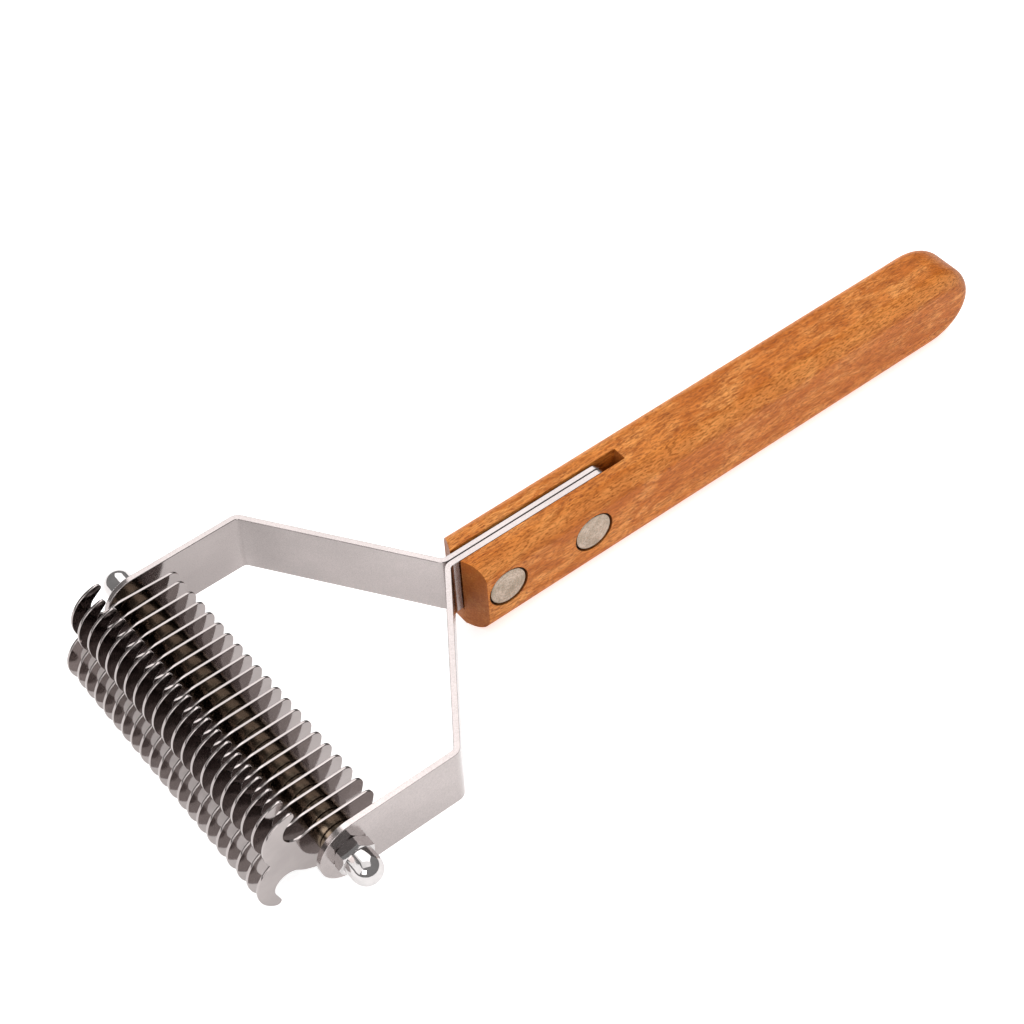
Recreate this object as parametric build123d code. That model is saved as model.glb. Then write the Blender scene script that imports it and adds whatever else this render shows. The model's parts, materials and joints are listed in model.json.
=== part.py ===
"""Deshedding rake for dogs: a wooden handle, a two-arm steel fork, and a pack of
double-hooked blades clamped on a cross rod between two cap nuts.

Millimetres. The origin is the middle of the rod's axis. +X runs back along the
handle, +Y runs along the rod to the left arm, and +Z is up.
"""
from build123d import *
from math import acos, atan2, cos, degrees, hypot, radians, sin, sqrt, tan
import os

# ---- driving dimensions ----
BLADE_COUNT = 21
BLADE_THICK = 0.7
SPACER_THICK = 3.15
SPACER_RADIUS = 4.5
SPACER_EDGE = 0.2          # chamfer on the spacers' rims
BLADE_TILT = 14.7          # the whole pack is turned this far, hooks up, about the rod
LOOSE_TURN = {1: 2.5, 2: -2.0}   # blades clamped a little out of line with the pack

ROD_RADIUS = 2.5           # M5 thread
ROD_EDGE = 0.5             # chamfer on the rod's ends
ROD_END_GAP = 1.0          # between the rod's end and the bottom of a nut's bore
HOLE_RADIUS = 2.58         # blades, spacers and arms slip over the rod

STRIP_THICK = 1.5
STRIP_HEIGHT = 17.0
ARM_END_X = 0.9            # centre of the arm's round front end
ARM_BEND_X = 29.7          # outer corner of the front bend
TANG_BEND_X = 58.6         # outer corner of the bend at the handle
BEND_RADIUS = 1.4          # inside radius of both bends
TANG_END_X = 105.0
TANG_CORNER = 3.5
TANG_GAP = 0.2             # between the two tangs

HANDLE_FRONT_X = 61.0
HANDLE_END_X = 220.0
HANDLE_TOP = 8.9
HANDLE_BOTTOM = -13.9
HANDLE_WIDTH = 16.4
HANDLE_EDGE = 4.8          # rounding all along both cheeks, round the rear end too
NOSE_BEVEL = 22.5          # each cheek's front slants back this much, in degrees
END_LENGTH = 13.3          # length of the half ellipse that ends the side view

SLOT_WIDTH = 3.9
SLOT_END_X = 109.5
SLOT_FLOOR = -9.0

RIVET_X = (69.6, 94.9)
RIVET_Z = -1.3
RIVET_SHANK = 2.5
RIVET_HEAD = 5.05
RIVET_HEAD_THICK = 1.0
RIVET_SINK = 0.2           # heads sit this far below the cheeks
RIVET_EDGE = 0.25
RECESS_GAP = 0.45          # ring gap between a head and its counterbore

NUT_FLATS = 8.0            # M5 cap nut
NUT_HEX = 3.2
NUT_DOME = 3.75
NUT_HEIGHT = 9.6
NUT_BORE_DEPTH = 7.4
NUT_BORE = 2.55
NUT_CHAMFER = (0.35, 0.6)  # along the axis and across it, on the hexagon's corners
NUT_TURN = -19.0           # how far each nut has stopped round its axis

# blade outline, in its own frame: rod at (0, 0), hooks towards -X
LOBE_CENTRE = (-10.93, 6.25)
LOBE_RADIUS = 8.54
THROAT_CENTRE = (-11.13, 8.65)
THROAT_RADIUS = 3.65
TIP_RADIUS = 1.0
TIP_ANGLE = 111.0          # where the hook ends, round the lobe's centre
NECK_RADIUS = 10.0         # rounding between the throat and the body's edge
EDGE_AT_ROD = 8.5          # height of the body's edge straight above the rod
FLARE = 15.0               # half the angle between the body's two edges
TAIL_X = 8.35
TAIL_NOTCH_X = 7.1
TAIL_CORNER = 2.2
TAIL_RADIUS = 17.0

CUT_PAST = 1.0             # cutters reach this far past what they cut

# ---- worked out ----
PITCH = BLADE_THICK + SPACER_THICK
PACK_HALF = (BLADE_COUNT * BLADE_THICK + (BLADE_COUNT + 1) * SPACER_THICK) / 2
ARM_OUTER = PACK_HALF + STRIP_THICK
STRIP_HALF = STRIP_HEIGHT / 2
TANG_INNER = TANG_GAP / 2
TANG_OUTER = TANG_INNER + STRIP_THICK


def polar(centre, radius, angle):
    """Point on a circle, angle in degrees."""
    return (centre[0] + radius * cos(radians(angle)), centre[1] + radius * sin(radians(angle)))


def angle_from(centre, point):
    """Direction of a point seen from a centre, in degrees."""
    return degrees(atan2(point[1] - centre[1], point[0] - centre[0]))


def arc(centre, radius, start, end):
    """Arc from angle start to angle end, in degrees, through the middle angle."""
    points = [polar(centre, radius, angle) for angle in (start, (start + end) / 2, end)]
    return ThreePointArc(*points)


def half_blade_outline():
    """Upper half of the blade's edge, from the front cusp to the tail notch."""
    cusp = (LOBE_CENTRE[0] - sqrt(LOBE_RADIUS**2 - LOBE_CENTRE[1]**2), 0)
    cusp_angle = angle_from(LOBE_CENTRE, cusp) + 360
    tip = polar(LOBE_CENTRE, LOBE_RADIUS - TIP_RADIUS, TIP_ANGLE)

    # the hook's inner side is the line that touches the tip's and the throat's circles
    reach = hypot(tip[0] - THROAT_CENTRE[0], tip[1] - THROAT_CENTRE[1])
    spread = degrees(acos((TIP_RADIUS + THROAT_RADIUS) / reach))
    touch = angle_from(THROAT_CENTRE, tip) + spread

    # the neck's circle touches the throat's circle and the body's straight edge
    across = (-sin(radians(FLARE)), cos(radians(FLARE)))
    above_edge = THROAT_CENTRE[0] * across[0] + (THROAT_CENTRE[1] - EDGE_AT_ROD) * across[1]
    rise = above_edge + NECK_RADIUS
    run = sqrt((THROAT_RADIUS + NECK_RADIUS) ** 2 - rise**2)
    neck = polar(polar(THROAT_CENTRE, run, FLARE), rise, FLARE - 90)
    throat_end = angle_from(THROAT_CENTRE, neck) + 360

    # the tail corner's arc touches the body's edge and the upright through TAIL_X
    corner_x = TAIL_X - TAIL_CORNER
    edge_height = EDGE_AT_ROD + corner_x * tan(radians(FLARE))
    corner = (corner_x, edge_height - TAIL_CORNER / cos(radians(FLARE)))

    return [
        arc(LOBE_CENTRE, LOBE_RADIUS, cusp_angle, TIP_ANGLE),
        arc(tip, TIP_RADIUS, TIP_ANGLE, touch - 180),
        Line(polar(tip, TIP_RADIUS, touch - 180), polar(THROAT_CENTRE, THROAT_RADIUS, touch)),
        arc(THROAT_CENTRE, THROAT_RADIUS, touch, throat_end),
        arc(neck, NECK_RADIUS, throat_end - 180, 90 + FLARE),
        Line(polar(neck, NECK_RADIUS, 90 + FLARE), polar(corner, TAIL_CORNER, 90 + FLARE)),
        arc(corner, TAIL_CORNER, 90 + FLARE, 0),
        tail_arc((TAIL_X, corner[1]), (TAIL_NOTCH_X, 0)),
    ]


def tail_arc(start, end):
    """Shallow arc of TAIL_RADIUS that bulges away from the rod."""
    half_chord = hypot(end[0] - start[0], end[1] - start[1]) / 2
    bulge = TAIL_RADIUS - sqrt(TAIL_RADIUS**2 - half_chord**2)
    middle = ((start[0] + end[0]) / 2 + bulge, (start[1] + end[1]) / 2)
    return ThreePointArc(start, middle, end)


def blade_blank():
    """One double-hooked blade, centred on the rod, before it is turned."""
    upper = Wire(half_blade_outline())
    lower = mirror(upper, about=Plane.XZ)
    face = make_face([*upper.edges(), *lower.edges()])
    outline = Plane.XZ * face.faces()[0]
    plate = extrude(outline, BLADE_THICK / 2, both=True)
    return plate - rod_bore(BLADE_THICK)


def rod_bore(length):
    """Clearance cylinder for the rod's hole, along Y."""
    return Rot(90, 0, 0) * Cylinder(HOLE_RADIUS, length + 2 * CUT_PAST)


def make_blades():
    """All blades, left to right, turned about the rod."""
    blank = blade_blank()
    first = PITCH * (BLADE_COUNT - 1) / 2
    blades = {}
    for i in range(BLADE_COUNT):
        turn = BLADE_TILT + LOOSE_TURN.get(i + 1, 0)
        blades[f"blade_{i + 1:02d}"] = Pos(0, first - i * PITCH, 0) * Rot(0, turn, 0) * blank
    return blades


def make_spacers():
    """Round spacers between the blades, and one against each arm."""
    disc = Cylinder(SPACER_RADIUS, SPACER_THICK)
    disc = chamfer(disc.edges().filter_by(GeomType.CIRCLE), SPACER_EDGE)
    ring = Rot(90, 0, 0) * disc - rod_bore(SPACER_THICK)
    first = PITCH * BLADE_COUNT / 2
    return {f"spacer_{i + 1:02d}": Pos(0, first - i * PITCH, 0) * ring for i in range(BLADE_COUNT + 1)}


def strip_path_face():
    """The bent strip of the left arm seen from above, with rounded bends."""
    run = TANG_BEND_X - ARM_BEND_X
    drop = ARM_OUTER - TANG_OUTER
    slope = atan2(drop, run)
    # an offset by the thickness moves each corner by thickness * tan(half the bend)
    shift = STRIP_THICK * tan(slope / 2)
    front = ARM_END_X - STRIP_HALF
    outer = [
        (front, ARM_OUTER),
        (ARM_BEND_X, ARM_OUTER),
        (TANG_BEND_X, TANG_OUTER),
        (TANG_END_X, TANG_OUTER),
    ]
    inner = [
        (TANG_END_X, TANG_INNER),
        (TANG_BEND_X - shift, TANG_INNER),
        (ARM_BEND_X - shift, ARM_OUTER - STRIP_THICK),
        (front, ARM_OUTER - STRIP_THICK),
    ]
    face = make_face(Polyline(*outer, *inner, close=True)).faces()[0]
    small, large = BEND_RADIUS, BEND_RADIUS + STRIP_THICK
    radii = {outer[1]: large, outer[2]: small, inner[1]: large, inner[2]: small}
    for corner, radius in radii.items():
        vertex = face.vertices().sort_by_distance((*corner, 0))[0]
        face = face.fillet_2d(radius, [vertex])
    return face


def strip_side_blank():
    """Side view of the straightened arm: round front end, eased tang corners."""
    length = TANG_END_X - ARM_END_X
    block = Pos(ARM_END_X + length / 2, 0, 0) * Box(length, 4 * ARM_OUTER, STRIP_HEIGHT)
    block = fillet(block.faces().sort_by(Axis.X)[-1].edges().filter_by(Axis.Y), TANG_CORNER)
    nose = Pos(ARM_END_X, 0, 0) * Rot(90, 0, 0) * Cylinder(STRIP_HALF, 4 * ARM_OUTER)
    return block + nose


def rivet_places():
    return [Pos(x, 0, RIVET_Z) * Rot(90, 0, 0) for x in RIVET_X]


def make_arms():
    """Left arm and its mirror image."""
    strip = extrude(strip_path_face(), STRIP_HALF, both=True)
    arm = strip & strip_side_blank()
    arm -= rod_bore(3 * ARM_OUTER)
    for place in rivet_places():
        arm -= place * Cylinder(RIVET_SHANK, 4 * HANDLE_WIDTH)
    return {"left_arm": arm, "right_arm": mirror(arm, about=Plane.XZ)}


def handle_blank():
    """The handle's outside: a bar with rounded cheeks and a round rear end."""
    length = HANDLE_END_X - HANDLE_FRONT_X
    height = HANDLE_TOP - HANDLE_BOTTOM
    middle_z = (HANDLE_TOP + HANDLE_BOTTOM) / 2
    end_start = Pos(HANDLE_END_X - END_LENGTH, middle_z)
    side = end_start * Ellipse(END_LENGTH, height / 2)
    side += end_start * Rectangle(length - END_LENGTH, height, align=(Align.MAX, Align.CENTER))
    bar = extrude(Plane.XZ * side, HANDLE_WIDTH / 2, both=True)
    for cheek in (-1, 0):
        rim = bar.faces().filter_by(Axis.Y).sort_by(Axis.Y)[cheek].edges().sort_by(Axis.X)[1:]
        bar = fillet(rim, HANDLE_EDGE)
    for turn in (1, -1):
        corner = Pos(HANDLE_FRONT_X, turn * SLOT_WIDTH / 2, middle_z)
        cutter = Box(
            HANDLE_WIDTH, 2 * HANDLE_WIDTH, 2 * height, align=(Align.MAX, Align.CENTER, Align.CENTER)
        )
        bar -= corner * Rot(0, 0, -turn * NOSE_BEVEL) * cutter
    return bar


def make_handle():
    """Wooden handle with its tang slot and the counterbored rivet holes."""
    handle = handle_blank()
    slot_length = SLOT_END_X - HANDLE_FRONT_X + CUT_PAST
    slot_height = HANDLE_TOP - SLOT_FLOOR + CUT_PAST
    slot = Box(slot_length, SLOT_WIDTH, slot_height, align=(Align.MAX, Align.CENTER, Align.MIN))
    handle -= Pos(SLOT_END_X, 0, SLOT_FLOOR) * slot
    recess_depth = RIVET_HEAD_THICK + RIVET_SINK
    for place in rivet_places():
        handle -= place * Cylinder(RIVET_SHANK, 2 * HANDLE_WIDTH)
        for side in (1, -1):
            recess = Cylinder(RIVET_HEAD + RECESS_GAP, 2 * recess_depth)
            handle -= place * Pos(0, 0, side * HANDLE_WIDTH / 2) * recess
    return handle


def make_rivet(x):
    """Flat-headed rivet across the handle and both tangs."""
    half = HANDLE_WIDTH / 2 - RIVET_SINK
    rivet = Cylinder(RIVET_SHANK, 2 * half)
    for side in (1, -1):
        head = Cylinder(RIVET_HEAD, RIVET_HEAD_THICK)
        rivet += Pos(0, 0, side * (half - RIVET_HEAD_THICK / 2)) * head
    rims = rivet.edges().filter_by(GeomType.CIRCLE).group_by(Axis.Z)
    rivet = fillet([*rims[0], *rims[-1]], RIVET_EDGE)
    return Pos(x, 0, RIVET_Z) * Rot(90, 0, 0) * rivet


def make_rod():
    """Cross rod; its threaded ends stop inside the cap nuts."""
    half = ARM_OUTER + NUT_BORE_DEPTH - ROD_END_GAP
    rod = Cylinder(ROD_RADIUS, 2 * half)
    rod = chamfer(rod.edges().filter_by(GeomType.CIRCLE), ROD_EDGE)
    return Rot(90, 0, 0) * rod


def make_cap_nut():
    """Cap nut with its base at Z = 0 and its dome towards +Z."""
    corner = NUT_FLATS / sqrt(3)
    prism = extrude(RegularPolygon(corner, 6), NUT_HEX)
    facing = Cylinder(corner, NUT_HEX, align=(Align.CENTER, Align.CENTER, Align.MIN))
    facing = chamfer(facing.edges().filter_by(GeomType.CIRCLE), *NUT_CHAMFER)
    neck_height = NUT_HEIGHT - NUT_DOME
    neck = Cylinder(NUT_DOME, neck_height, align=(Align.CENTER, Align.CENTER, Align.MIN))
    dome = Pos(0, 0, neck_height) * Sphere(NUT_DOME)
    bore = Cylinder(NUT_BORE, NUT_BORE_DEPTH, align=(Align.CENTER, Align.CENTER, Align.MIN))
    return (prism & facing) + neck + dome - bore


def make_cap_nuts():
    nut = Rot(0, 0, NUT_TURN) * make_cap_nut()
    left = Pos(0, ARM_OUTER, 0) * Rot(-90, 0, 0) * nut
    return {"left_cap_nut": left, "right_cap_nut": mirror(left, about=Plane.XZ)}


def main():
    os.makedirs("parts", exist_ok=True)
    nodes = {"handle": make_handle()}
    nodes.update(make_arms())
    nodes["front_rivet"] = make_rivet(RIVET_X[0])
    nodes["rear_rivet"] = make_rivet(RIVET_X[1])
    nodes["cross_rod"] = make_rod()
    nodes.update(make_cap_nuts())
    nodes.update(make_blades())
    nodes.update(make_spacers())
    for name, solid in nodes.items():
        export_step(solid, f"parts/{name}.step")


main()
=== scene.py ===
"""Looks, floor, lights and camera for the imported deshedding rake."""
import bpy
import bmesh
import json
from math import cos, pi, radians, sin
from mathutils import Matrix, Vector


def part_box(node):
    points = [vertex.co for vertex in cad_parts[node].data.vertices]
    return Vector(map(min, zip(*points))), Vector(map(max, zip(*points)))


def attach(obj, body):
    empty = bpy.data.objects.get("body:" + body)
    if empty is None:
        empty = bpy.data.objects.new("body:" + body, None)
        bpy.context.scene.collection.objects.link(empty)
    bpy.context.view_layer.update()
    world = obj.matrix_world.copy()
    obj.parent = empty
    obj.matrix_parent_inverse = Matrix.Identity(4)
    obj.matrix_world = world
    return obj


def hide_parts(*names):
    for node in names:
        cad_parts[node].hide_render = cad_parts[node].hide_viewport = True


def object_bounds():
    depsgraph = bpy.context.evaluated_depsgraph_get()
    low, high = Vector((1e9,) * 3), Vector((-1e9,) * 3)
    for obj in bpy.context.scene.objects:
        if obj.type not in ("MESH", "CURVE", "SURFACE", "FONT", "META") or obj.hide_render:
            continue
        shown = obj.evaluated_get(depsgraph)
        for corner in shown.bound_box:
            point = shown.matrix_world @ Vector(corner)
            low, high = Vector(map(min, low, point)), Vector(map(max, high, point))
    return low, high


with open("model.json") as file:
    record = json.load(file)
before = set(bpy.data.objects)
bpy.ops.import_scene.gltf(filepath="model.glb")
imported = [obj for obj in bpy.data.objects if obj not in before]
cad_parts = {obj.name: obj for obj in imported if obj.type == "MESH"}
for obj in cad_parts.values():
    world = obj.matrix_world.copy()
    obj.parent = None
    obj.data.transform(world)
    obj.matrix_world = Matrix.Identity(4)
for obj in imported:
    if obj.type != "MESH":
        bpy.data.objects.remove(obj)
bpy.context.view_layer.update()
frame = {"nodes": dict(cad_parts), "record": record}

MM = 0.001
BLADES = [n for n in sorted(frame["nodes"]) if n.startswith("blade_")]
SPACERS = [n for n in sorted(frame["nodes"]) if n.startswith("spacer_")]
ARMS = ("left_arm", "right_arm")
RIVETS = ("front_rivet", "rear_rivet")
NUTS = ("left_cap_nut", "right_cap_nut")
BODY_OF = {n: body for body, ns in frame["record"]["behaviour"]["bodies"].items() for n in ns}
SLOT_OF = {s["node"]: s["material_slot"] for s in frame["record"]["subparts"]}

WHITE = (1.0, 1.0, 1.0, 1.0)
STEEL_WARMTH = 0.12     # how far plain steel leans towards pink
CHROME_WARMTH = 0.05    # and plated steel
BLUE_LOSS = 0.2         # blue falls by this share of what red gains
RING_PITCH = 0.9 * MM   # between the turned rings on a rivet head
GAP_SHADE_WIDTH = 0.4 * MM  # the painted gap shade reaches this far past a rivet head
GAP_SHADE_FADE = 0.1 * MM   # and fades out over this width

# rounding on each kind of piece: width in mm, and segments
BLADE_EDGE = (0.14, 3)
SPACER_EDGE = (0.08, 2)
ARM_EDGE = (0.25, 4)
RIVET_EDGE = (0.08, 2)
NUT_EDGE = (0.12, 3)
ROD_EDGE = (0.1, 2)
HANDLE_EDGE = (0.35, 4)
WELD = 0.001 * MM       # corners nearer than this are one corner
FLAT_ANGLE = 0.4        # degrees; neighbouring faces this close to one plane are merged
ROUND_ANGLE = 30        # degrees; edges sharper than this are rounded
SMOOTH_ANGLE = 32       # degrees; edges still sharper than this shade as sharp

# metres
FLOOR_REACH = 6.0       # from the middle to each side
FLOOR_GAP = 0.05 * MM   # below the tool's lowest point at rest
LIGHT_TARGET = (0.08, 0.0, 0.0)
CAMERA_PLACE = (-0.1147, -0.27526, 0.40175)

# strengths of the surroundings' own light
FLOOR_GLOW = 0.6        # fades the shadows on the floor
WORLD_STRENGTH = 0.33

# degrees
CAMERA_AZIMUTH = -124.936
CAMERA_ELEVATION = 49.276
CAMERA_ROLL = -3.967

# millimetres, as the camera's own settings are
SENSOR_WIDTH = 36.0
LENS = 79.07203


# ---- materials ----

class Nodes:
    """A material's node tree, with short calls for the nodes used here."""

    def __init__(self, name):
        self.material = bpy.data.materials.new(name)
        self.material.use_nodes = True
        self.tree = self.material.node_tree
        self.shader = self.tree.nodes["Principled BSDF"]
        coordinates = self.tree.nodes.new("ShaderNodeTexCoord")
        self.place = coordinates.outputs["Object"]
        self.facing = coordinates.outputs["Normal"]

    def link(self, source, target):
        self.tree.links.new(source, target)

    def put(self, socket, value):
        """Links an output to a socket, or sets the socket to a plain value."""
        if isinstance(value, bpy.types.NodeSocket):
            self.link(value, socket)
        else:
            socket.default_value = value

    def stretched(self, scale, turn=(0, 0, 0)):
        """Object coordinates in millimetres, scaled along each axis and then turned, in degrees."""
        node = self.tree.nodes.new("ShaderNodeMapping")
        node.inputs["Scale"].default_value = [s / MM for s in scale]
        node.inputs["Rotation"].default_value = [radians(t) for t in turn]
        self.link(self.place, node.inputs["Vector"])
        return node.outputs["Vector"]

    def noise(self, vector, detail=4.0, roughness=0.55, distortion=0.0):
        """Noise whose size comes from the stretched coordinates alone."""
        node = self.tree.nodes.new("ShaderNodeTexNoise")
        self.link(vector, node.inputs["Vector"])
        node.inputs["Scale"].default_value = 1.0
        node.inputs["Detail"].default_value = detail
        node.inputs["Roughness"].default_value = roughness
        node.inputs["Distortion"].default_value = distortion
        return node.outputs["Fac"]

    def ramp(self, value, low, high, out_low=0.0, out_high=1.0):
        """Takes low..high to out_low..out_high, and stops at both ends."""
        node = self.tree.nodes.new("ShaderNodeMapRange")
        self.put(node.inputs["Value"], value)
        node.inputs["From Min"].default_value = low
        node.inputs["From Max"].default_value = high
        node.inputs["To Min"].default_value = out_low
        node.inputs["To Max"].default_value = out_high
        return node.outputs["Result"]

    def math(self, operation, a, b=0.0):
        node = self.tree.nodes.new("ShaderNodeMath")
        node.operation = operation
        self.put(node.inputs[0], a)
        self.put(node.inputs[1], b)
        return node.outputs[0]

    def mix(self, factor, a, b):
        node = self.tree.nodes.new("ShaderNodeMix")
        node.data_type = "RGBA"
        self.put(node.inputs["Factor"], factor)
        self.put(node.inputs["A"], a)
        self.put(node.inputs["B"], b)
        return node.outputs["Result"]

    def part(self, vector, letter):
        """One coordinate of a vector."""
        node = self.tree.nodes.new("ShaderNodeSeparateXYZ")
        self.link(vector, node.inputs[0])
        return node.outputs[letter]

    def bump(self, height, strength, distance):
        node = self.tree.nodes.new("ShaderNodeBump")
        self.put(node.inputs["Height"], height)
        node.inputs["Strength"].default_value = strength
        node.inputs["Distance"].default_value = distance
        self.link(node.outputs["Normal"], self.shader.inputs["Normal"])

    def set(self, **values):
        """Fills the shader's sockets, named with underscores for spaces."""
        for name, value in values.items():
            self.put(self.shader.inputs[name.replace("_", " ")], value)


def grey(value, warmth=STEEL_WARMTH):
    """Linear steel colour; warmth leans it towards pink."""
    return (value * (1 + warmth), value, value * (1 - BLUE_LOSS * warmth), 1.0)


def blade_steel():
    """Polished sheet with faint long scratches and a few dull smears."""
    n = Nodes("blade_steel")
    scratches = n.noise(n.stretched((0.35, 1.0, 6.0), (0, 28, 0)), 6.0, 0.7)
    smears = n.noise(n.stretched((0.12, 0.12, 0.16)), 3.0)
    tone = n.ramp(smears, 0.35, 0.7)
    n.set(Base_Color=n.mix(tone, grey(0.29), grey(0.33)), Metallic=1.0)
    rough = n.math("ADD", n.ramp(smears, 0.3, 0.75, 0.05, 0.10), n.ramp(scratches, 0.45, 0.8, 0.0, 0.08))
    n.set(Roughness=rough)
    n.bump(scratches, 0.08, 0.02 * MM)
    return n.material


def fork_steel():
    """Satin rolled strip: fine pits, soft brushing along the strip and a warm cast."""
    n = Nodes("fork_steel")
    brushing = n.noise(n.stretched((0.5, 0.5, 9.0)), 6.0, 0.65)
    pits = n.noise(n.stretched((3.0, 3.0, 3.0)), 8.0, 0.7)
    patches = n.noise(n.stretched((0.06, 0.06, 0.1)), 3.0)
    colour = n.mix(n.ramp(patches, 0.3, 0.7), grey(0.34), grey(0.39))
    colour = n.mix(n.ramp(pits, 0.35, 0.60, 0.35, 0.0), colour, grey(0.20))
    n.set(Base_Color=colour, Metallic=1.0)
    rough = n.math("ADD", n.ramp(pits, 0.3, 0.7, 0.11, 0.20), n.ramp(brushing, 0.4, 0.7, 0.0, 0.05))
    n.set(Roughness=rough)
    n.bump(n.math("ADD", pits, n.math("MULTIPLY", brushing, 0.6)), 0.18, 0.02 * MM)
    return n.material


def nut_chrome():
    """Bright plated nut with slight ripples and handling marks."""
    n = Nodes("nut_chrome")
    ripples = n.noise(n.stretched((0.5, 0.5, 0.5)), 3.0)
    marks = n.noise(n.stretched((2.5, 2.5, 2.5)), 6.0, 0.7)
    dull = grey(0.46, CHROME_WARMTH)
    bright = grey(0.54, CHROME_WARMTH)
    n.set(Base_Color=n.mix(n.ramp(ripples, 0.3, 0.7), dull, bright), Metallic=1.0)
    n.set(Roughness=n.ramp(marks, 0.4, 0.75, 0.03, 0.15))
    n.bump(ripples, 0.12, 0.08 * MM)
    return n.material


def rod_steel():
    """Plain rod, dull and slightly oily."""
    n = Nodes("rod_steel")
    pits = n.noise(n.stretched((2.0, 2.0, 2.0)), 6.0, 0.7)
    n.set(Base_Color=n.mix(n.ramp(pits, 0.3, 0.7), grey(0.20), grey(0.32)), Metallic=1.0)
    n.set(Roughness=n.ramp(pits, 0.3, 0.7, 0.25, 0.4))
    n.bump(pits, 0.2, 0.03 * MM)
    return n.material


def spacer_bronze():
    """Bronze-brown turned spacers with ring marks and tarnish."""
    n = Nodes("spacer_bronze")
    turning = n.noise(n.stretched((0.3, 12.0, 0.3)), 4.0, 0.6)
    tarnish = n.noise(n.stretched((0.5, 0.5, 0.5)), 5.0, 0.65)
    bronze = (0.33, 0.275, 0.205, 1.0)
    tarnished = (0.23, 0.185, 0.13, 1.0)
    colour = n.mix(n.ramp(tarnish, 0.35, 0.7), bronze, tarnished)
    n.set(Base_Color=colour, Metallic=1.0)
    n.set(Roughness=n.ramp(tarnish, 0.3, 0.75, 0.13, 0.20))
    n.bump(turning, 0.25, 0.04 * MM)
    return n.material


def from_axis(n, rivet):
    """Distance from a rivet's axis, in metres."""
    low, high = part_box(rivet)
    middle = (low + high) / 2
    across = n.math("SUBTRACT", n.part(n.place, "X"), middle.x)
    up = n.math("SUBTRACT", n.part(n.place, "Z"), middle.z)
    squares = n.math("ADD", n.math("MULTIPLY", across, across), n.math("MULTIPLY", up, up))
    return n.math("SQRT", squares)


def gap_shade_ring(n, rivet):
    """Painted shade in the gap round a rivet head: 1 in its counterbore, fading to 0 just outside it."""
    low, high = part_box(rivet)
    reach = (high.x - low.x) / 2 + GAP_SHADE_WIDTH
    return n.ramp(from_axis(n, rivet), reach, reach + GAP_SHADE_FADE, 1.0, 0.0)


def rivet_steel():
    """Flat rivet heads: faint turned rings, blotches and fine pits."""
    n = Nodes("rivet_steel")
    distance = n.math("MINIMUM", *[from_axis(n, rivet) for rivet in RIVETS])
    rings = n.math("SINE", n.math("MULTIPLY", distance, 2 * pi / RING_PITCH))
    pits = n.noise(n.stretched((2.2, 2.2, 2.2)), 7.0, 0.7)
    blotches = n.noise(n.stretched((0.35, 0.35, 0.35)), 4.0, 0.6)
    clean = (0.47, 0.385, 0.315, 1.0)
    stained = (0.27, 0.22, 0.165, 1.0)
    in_pits = (0.15, 0.115, 0.08, 1.0)
    in_rings = (0.16, 0.13, 0.09, 1.0)
    colour = n.mix(n.ramp(blotches, 0.35, 0.7), clean, stained)
    colour = n.mix(n.ramp(pits, 0.3, 0.55, 0.7, 0.0), colour, in_pits)
    colour = n.mix(n.ramp(rings, 0.3, 1.0, 0.0, 0.25), colour, in_rings)
    n.set(Base_Color=colour, Metallic=1.0)
    n.set(Roughness=n.ramp(pits, 0.3, 0.7, 0.2, 0.36))
    n.bump(n.math("ADD", pits, n.math("MULTIPLY", rings, 0.25)), 0.35, 0.05 * MM)
    return n.material


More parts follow.
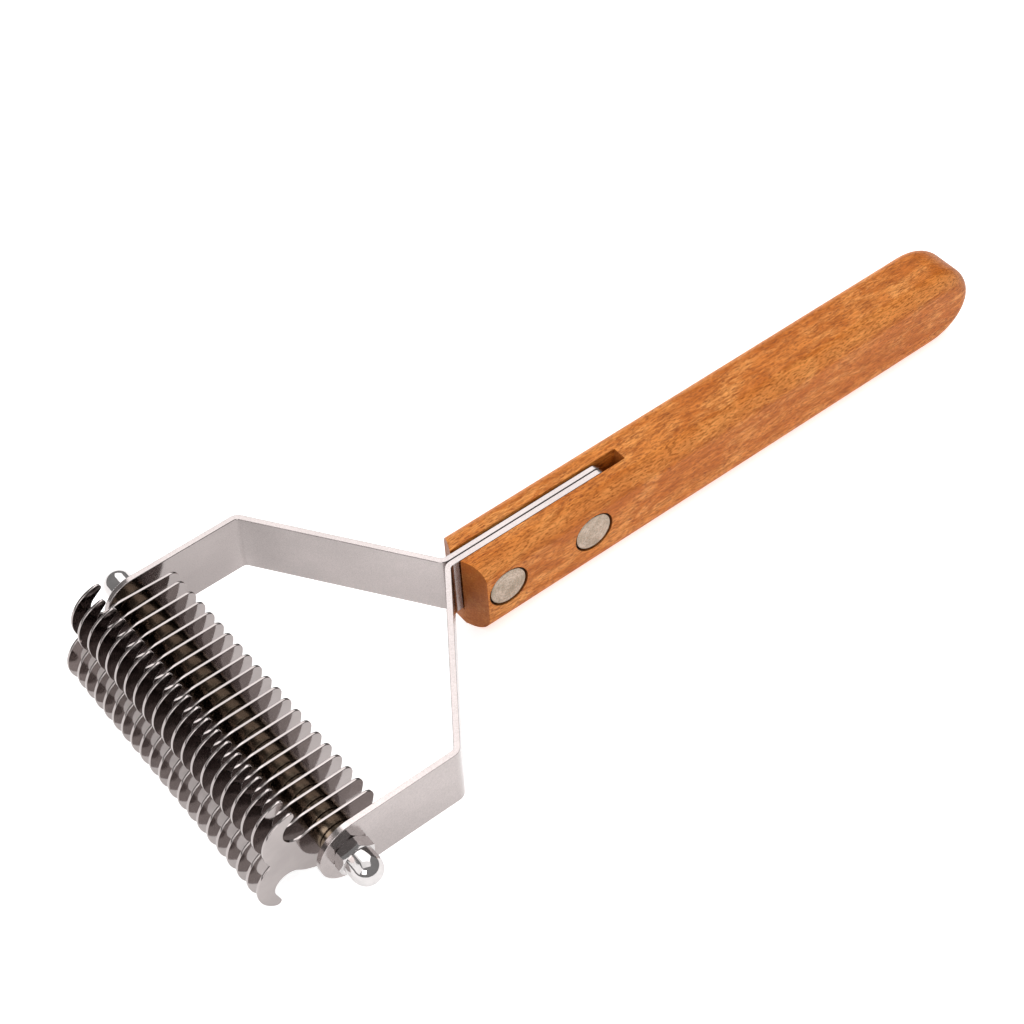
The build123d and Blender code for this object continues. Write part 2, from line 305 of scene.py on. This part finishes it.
def wood():
    """Amber oiled hardwood: soft bands, streaks, pore flecks, rubbed upper edges, painted shade in the
    gaps round the rivets.
    """
    amber = (0.72, 0.245, 0.044, 1.0)
    brown = (0.56, 0.150, 0.018, 1.0)
    honey = (0.84, 0.36, 0.095, 1.0)
    russet = (0.50, 0.125, 0.010, 1.0)
    streak_brown = (0.34, 0.085, 0.008, 1.0)
    rubbed = (0.90, 0.37, 0.12, 1.0)
    pore_brown = (0.18, 0.040, 0.005, 1.0)
    end_brown = (0.24, 0.065, 0.014, 1.0)
    # near-black painted shade for the gap round each rivet head
    gap_shade = (0.012, 0.007, 0.004, 1.0)
    n = Nodes("wood")
    bands = n.noise(n.stretched((0.012, 0.16, 0.13)), 4.0, 0.5, 0.6)
    clouds = n.noise(n.stretched((0.06, 0.14, 0.14)), 4.0, 0.6, 0.8)
    patches = n.noise(n.stretched((0.08, 0.22, 0.22), (0, 0, 9)), 5.0, 0.65, 1.0)
    streaks = n.noise(n.stretched((0.26, 1.5, 1.4)), 6.0, 0.68, 0.4)
    grain = n.noise(n.stretched((0.8, 3.4, 3.2)), 4.0, 0.6, 0.3)
    colour = n.mix(n.ramp(bands, 0.35, 0.68), amber, brown)
    colour = n.mix(n.ramp(clouds, 0.46, 0.66, 0.0, 0.75), colour, honey)
    colour = n.mix(n.ramp(patches, 0.50, 0.60, 0.0, 0.8), colour, russet)
    colour = n.mix(n.ramp(streaks, 0.42, 0.66, 0.0, 0.9), colour, streak_brown)
    sideways = n.math("ABSOLUTE", n.part(n.facing, "Y"))
    worn = n.ramp(n.math("MINIMUM", sideways, n.part(n.facing, "Z")), 0.25, 0.65, 0.0, 0.35)
    colour = n.mix(worn, colour, rubbed)
    colour = n.mix(n.ramp(grain, 0.48, 0.70, 0.0, 0.95), colour, pore_brown)
    along = n.part(n.facing, "X")
    at_front = n.ramp(along, -0.5, -0.8, 0.0, 0.65)
    at_rear = n.ramp(along, 0.3, 0.9, 0.0, 0.4)
    end_grain = n.math("MAXIMUM", at_front, at_rear)
    colour = n.mix(end_grain, colour, end_brown)
    # painted shade darkens the wood in the gap round each rivet head
    for rivet in RIVETS:
        colour = n.mix(gap_shade_ring(n, rivet), colour, gap_shade)
    n.set(Base_Color=colour, Roughness=n.ramp(streaks, 0.35, 0.7, 0.42, 0.56))
    n.set(Coat_Weight=0.05, Coat_Roughness=0.25, Specular_IOR_Level=0.10)
    n.bump(n.math("SUBTRACT", n.math("MULTIPLY", streaks, -0.5), grain), 0.35, 0.08 * MM)
    return n.material


def floor_white():
    """Pale matt studio paper with a trace of tooth."""
    n = Nodes("floor_white")
    tooth = n.noise(n.stretched((0.4, 0.4, 0.4)), 5.0, 0.6)
    hollows = (0.90, 0.90, 0.90, 1.0)
    peaks = (0.93, 0.93, 0.93, 1.0)
    n.set(Base_Color=n.mix(tooth, hollows, peaks), Roughness=0.9)
    n.set(Emission_Color=WHITE, Emission_Strength=FLOOR_GLOW)
    n.bump(tooth, 0.05, 0.05 * MM)
    return n.material


MAKERS = {"wood": wood, "fork_steel": fork_steel, "blade_steel": blade_steel, "nut_chrome": nut_chrome,
          "rod_steel": rod_steel, "spacer_bronze": spacer_bronze, "rivet_steel": rivet_steel}
MATERIALS = {slot: make() for slot, make in MAKERS.items()}


# ---- pieces ----

def finish(node, edge, segments):
    """Stands a copy of a CAD node in its place, with flats merged and edges rounded by `edge` mm."""
    mesh = frame["nodes"][node].data.copy()
    mesh.name = node + "_finished"
    shape = bmesh.new()
    shape.from_mesh(mesh)
    bmesh.ops.remove_doubles(shape, verts=shape.verts, dist=WELD)
    flat = radians(FLAT_ANGLE)
    bmesh.ops.dissolve_limit(shape, angle_limit=flat, verts=shape.verts, edges=shape.edges)
    sharp = radians(ROUND_ANGLE)
    edges = [e for e in shape.edges if e.is_manifold and e.calc_face_angle() > sharp]
    bmesh.ops.bevel(shape, geom=edges, offset=edge * MM, offset_type="OFFSET", segments=segments,
                    profile=0.5, affect="EDGES", clamp_overlap=True)
    for face in shape.faces:
        face.smooth = True
    shape.to_mesh(mesh)
    shape.free()
    mesh.set_sharp_from_angle(angle=radians(SMOOTH_ANGLE))
    piece = bpy.data.objects.new(node + "_finished", mesh)
    bpy.context.scene.collection.objects.link(piece)
    mesh.materials.clear()
    mesh.materials.append(MATERIALS[SLOT_OF[node]])
    even = piece.modifiers.new("even_normals", "WEIGHTED_NORMAL")
    even.keep_sharp = True
    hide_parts(node)
    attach(piece, BODY_OF[node])


def finish_pieces():
    for node in BLADES:
        finish(node, *BLADE_EDGE)
    for node in SPACERS:
        finish(node, *SPACER_EDGE)
    for node in ARMS:
        finish(node, *ARM_EDGE)
    for node in RIVETS:
        finish(node, *RIVET_EDGE)
    for node in NUTS:
        finish(node, *NUT_EDGE)
    finish("cross_rod", *ROD_EDGE)
    finish("handle", *HANDLE_EDGE)


# ---- surroundings ----

def make_floor():
    """A level square just under the lowest point of the tool."""
    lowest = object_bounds()[0]
    mesh = bpy.data.meshes.new("floor")
    z = lowest[2] - FLOOR_GAP
    signs = ((-1, -1), (1, -1), (1, 1), (-1, 1))
    corners = [(FLOOR_REACH * x, FLOOR_REACH * y, z) for x, y in signs]
    mesh.from_pydata(corners, [], [(0, 1, 2, 3)])
    mesh.materials.append(floor_white())
    floor = bpy.data.objects.new("floor", mesh)
    bpy.context.scene.collection.objects.link(floor)


def area_light(name, place, width, power):
    """A square softbox `width` metres wide, facing the tool, with its power in watts."""
    data = bpy.data.lights.new(name, "AREA")
    data.shape = "RECTANGLE"
    data.size = width
    data.size_y = width
    data.energy = power
    lamp = bpy.data.objects.new(name, data)
    lamp.location = place
    lamp.rotation_euler = (Vector(LIGHT_TARGET) - Vector(place)).to_track_quat("-Z", "Y").to_euler()
    bpy.context.scene.collection.objects.link(lamp)


def make_lights():
    area_light("overhead", (0.10, 0.05, 1.5), width=1.6, power=9)
    area_light("rear", (0.61, 0.76, 1.18), width=1.3, power=11)
    area_light("front", (-1.0, -0.9, 0.9), width=0.8, power=8)
    area_light("left", (-1.2, 0.15, 0.8), width=1.2, power=6)
    world = bpy.data.worlds.new("studio")
    world.use_nodes = True
    background = world.node_tree.nodes["Background"]
    background.inputs["Color"].default_value = WHITE
    background.inputs["Strength"].default_value = WORLD_STRENGTH
    scene = bpy.context.scene
    scene.world = world
    scene.view_settings.view_transform = "Standard"
    scene.view_settings.look = "None"
    scene.view_settings.exposure = 0.0


def make_camera():
    """Looks along an azimuth and elevation, rolled a little about the line of sight."""
    azimuth = radians(CAMERA_AZIMUTH)
    elevation = radians(CAMERA_ELEVATION)
    roll = radians(CAMERA_ROLL)
    back = Vector((cos(azimuth) * cos(elevation), sin(azimuth) * cos(elevation), sin(elevation)))
    right = Vector((-sin(azimuth), cos(azimuth), 0.0))
    up = back.cross(right)
    x = cos(roll) * right + sin(roll) * up
    y = -sin(roll) * right + cos(roll) * up
    data = bpy.data.cameras.new("camera")
    data.sensor_width = SENSOR_WIDTH
    data.lens = LENS
    camera = bpy.data.objects.new("camera", data)
    turn = Matrix((x, y, back)).transposed().to_4x4()
    camera.matrix_world = Matrix.Translation(Vector(CAMERA_PLACE)) @ turn
    bpy.context.scene.collection.objects.link(camera)
    bpy.context.scene.camera = camera


finish_pieces()
make_floor()
make_lights()
make_camera()
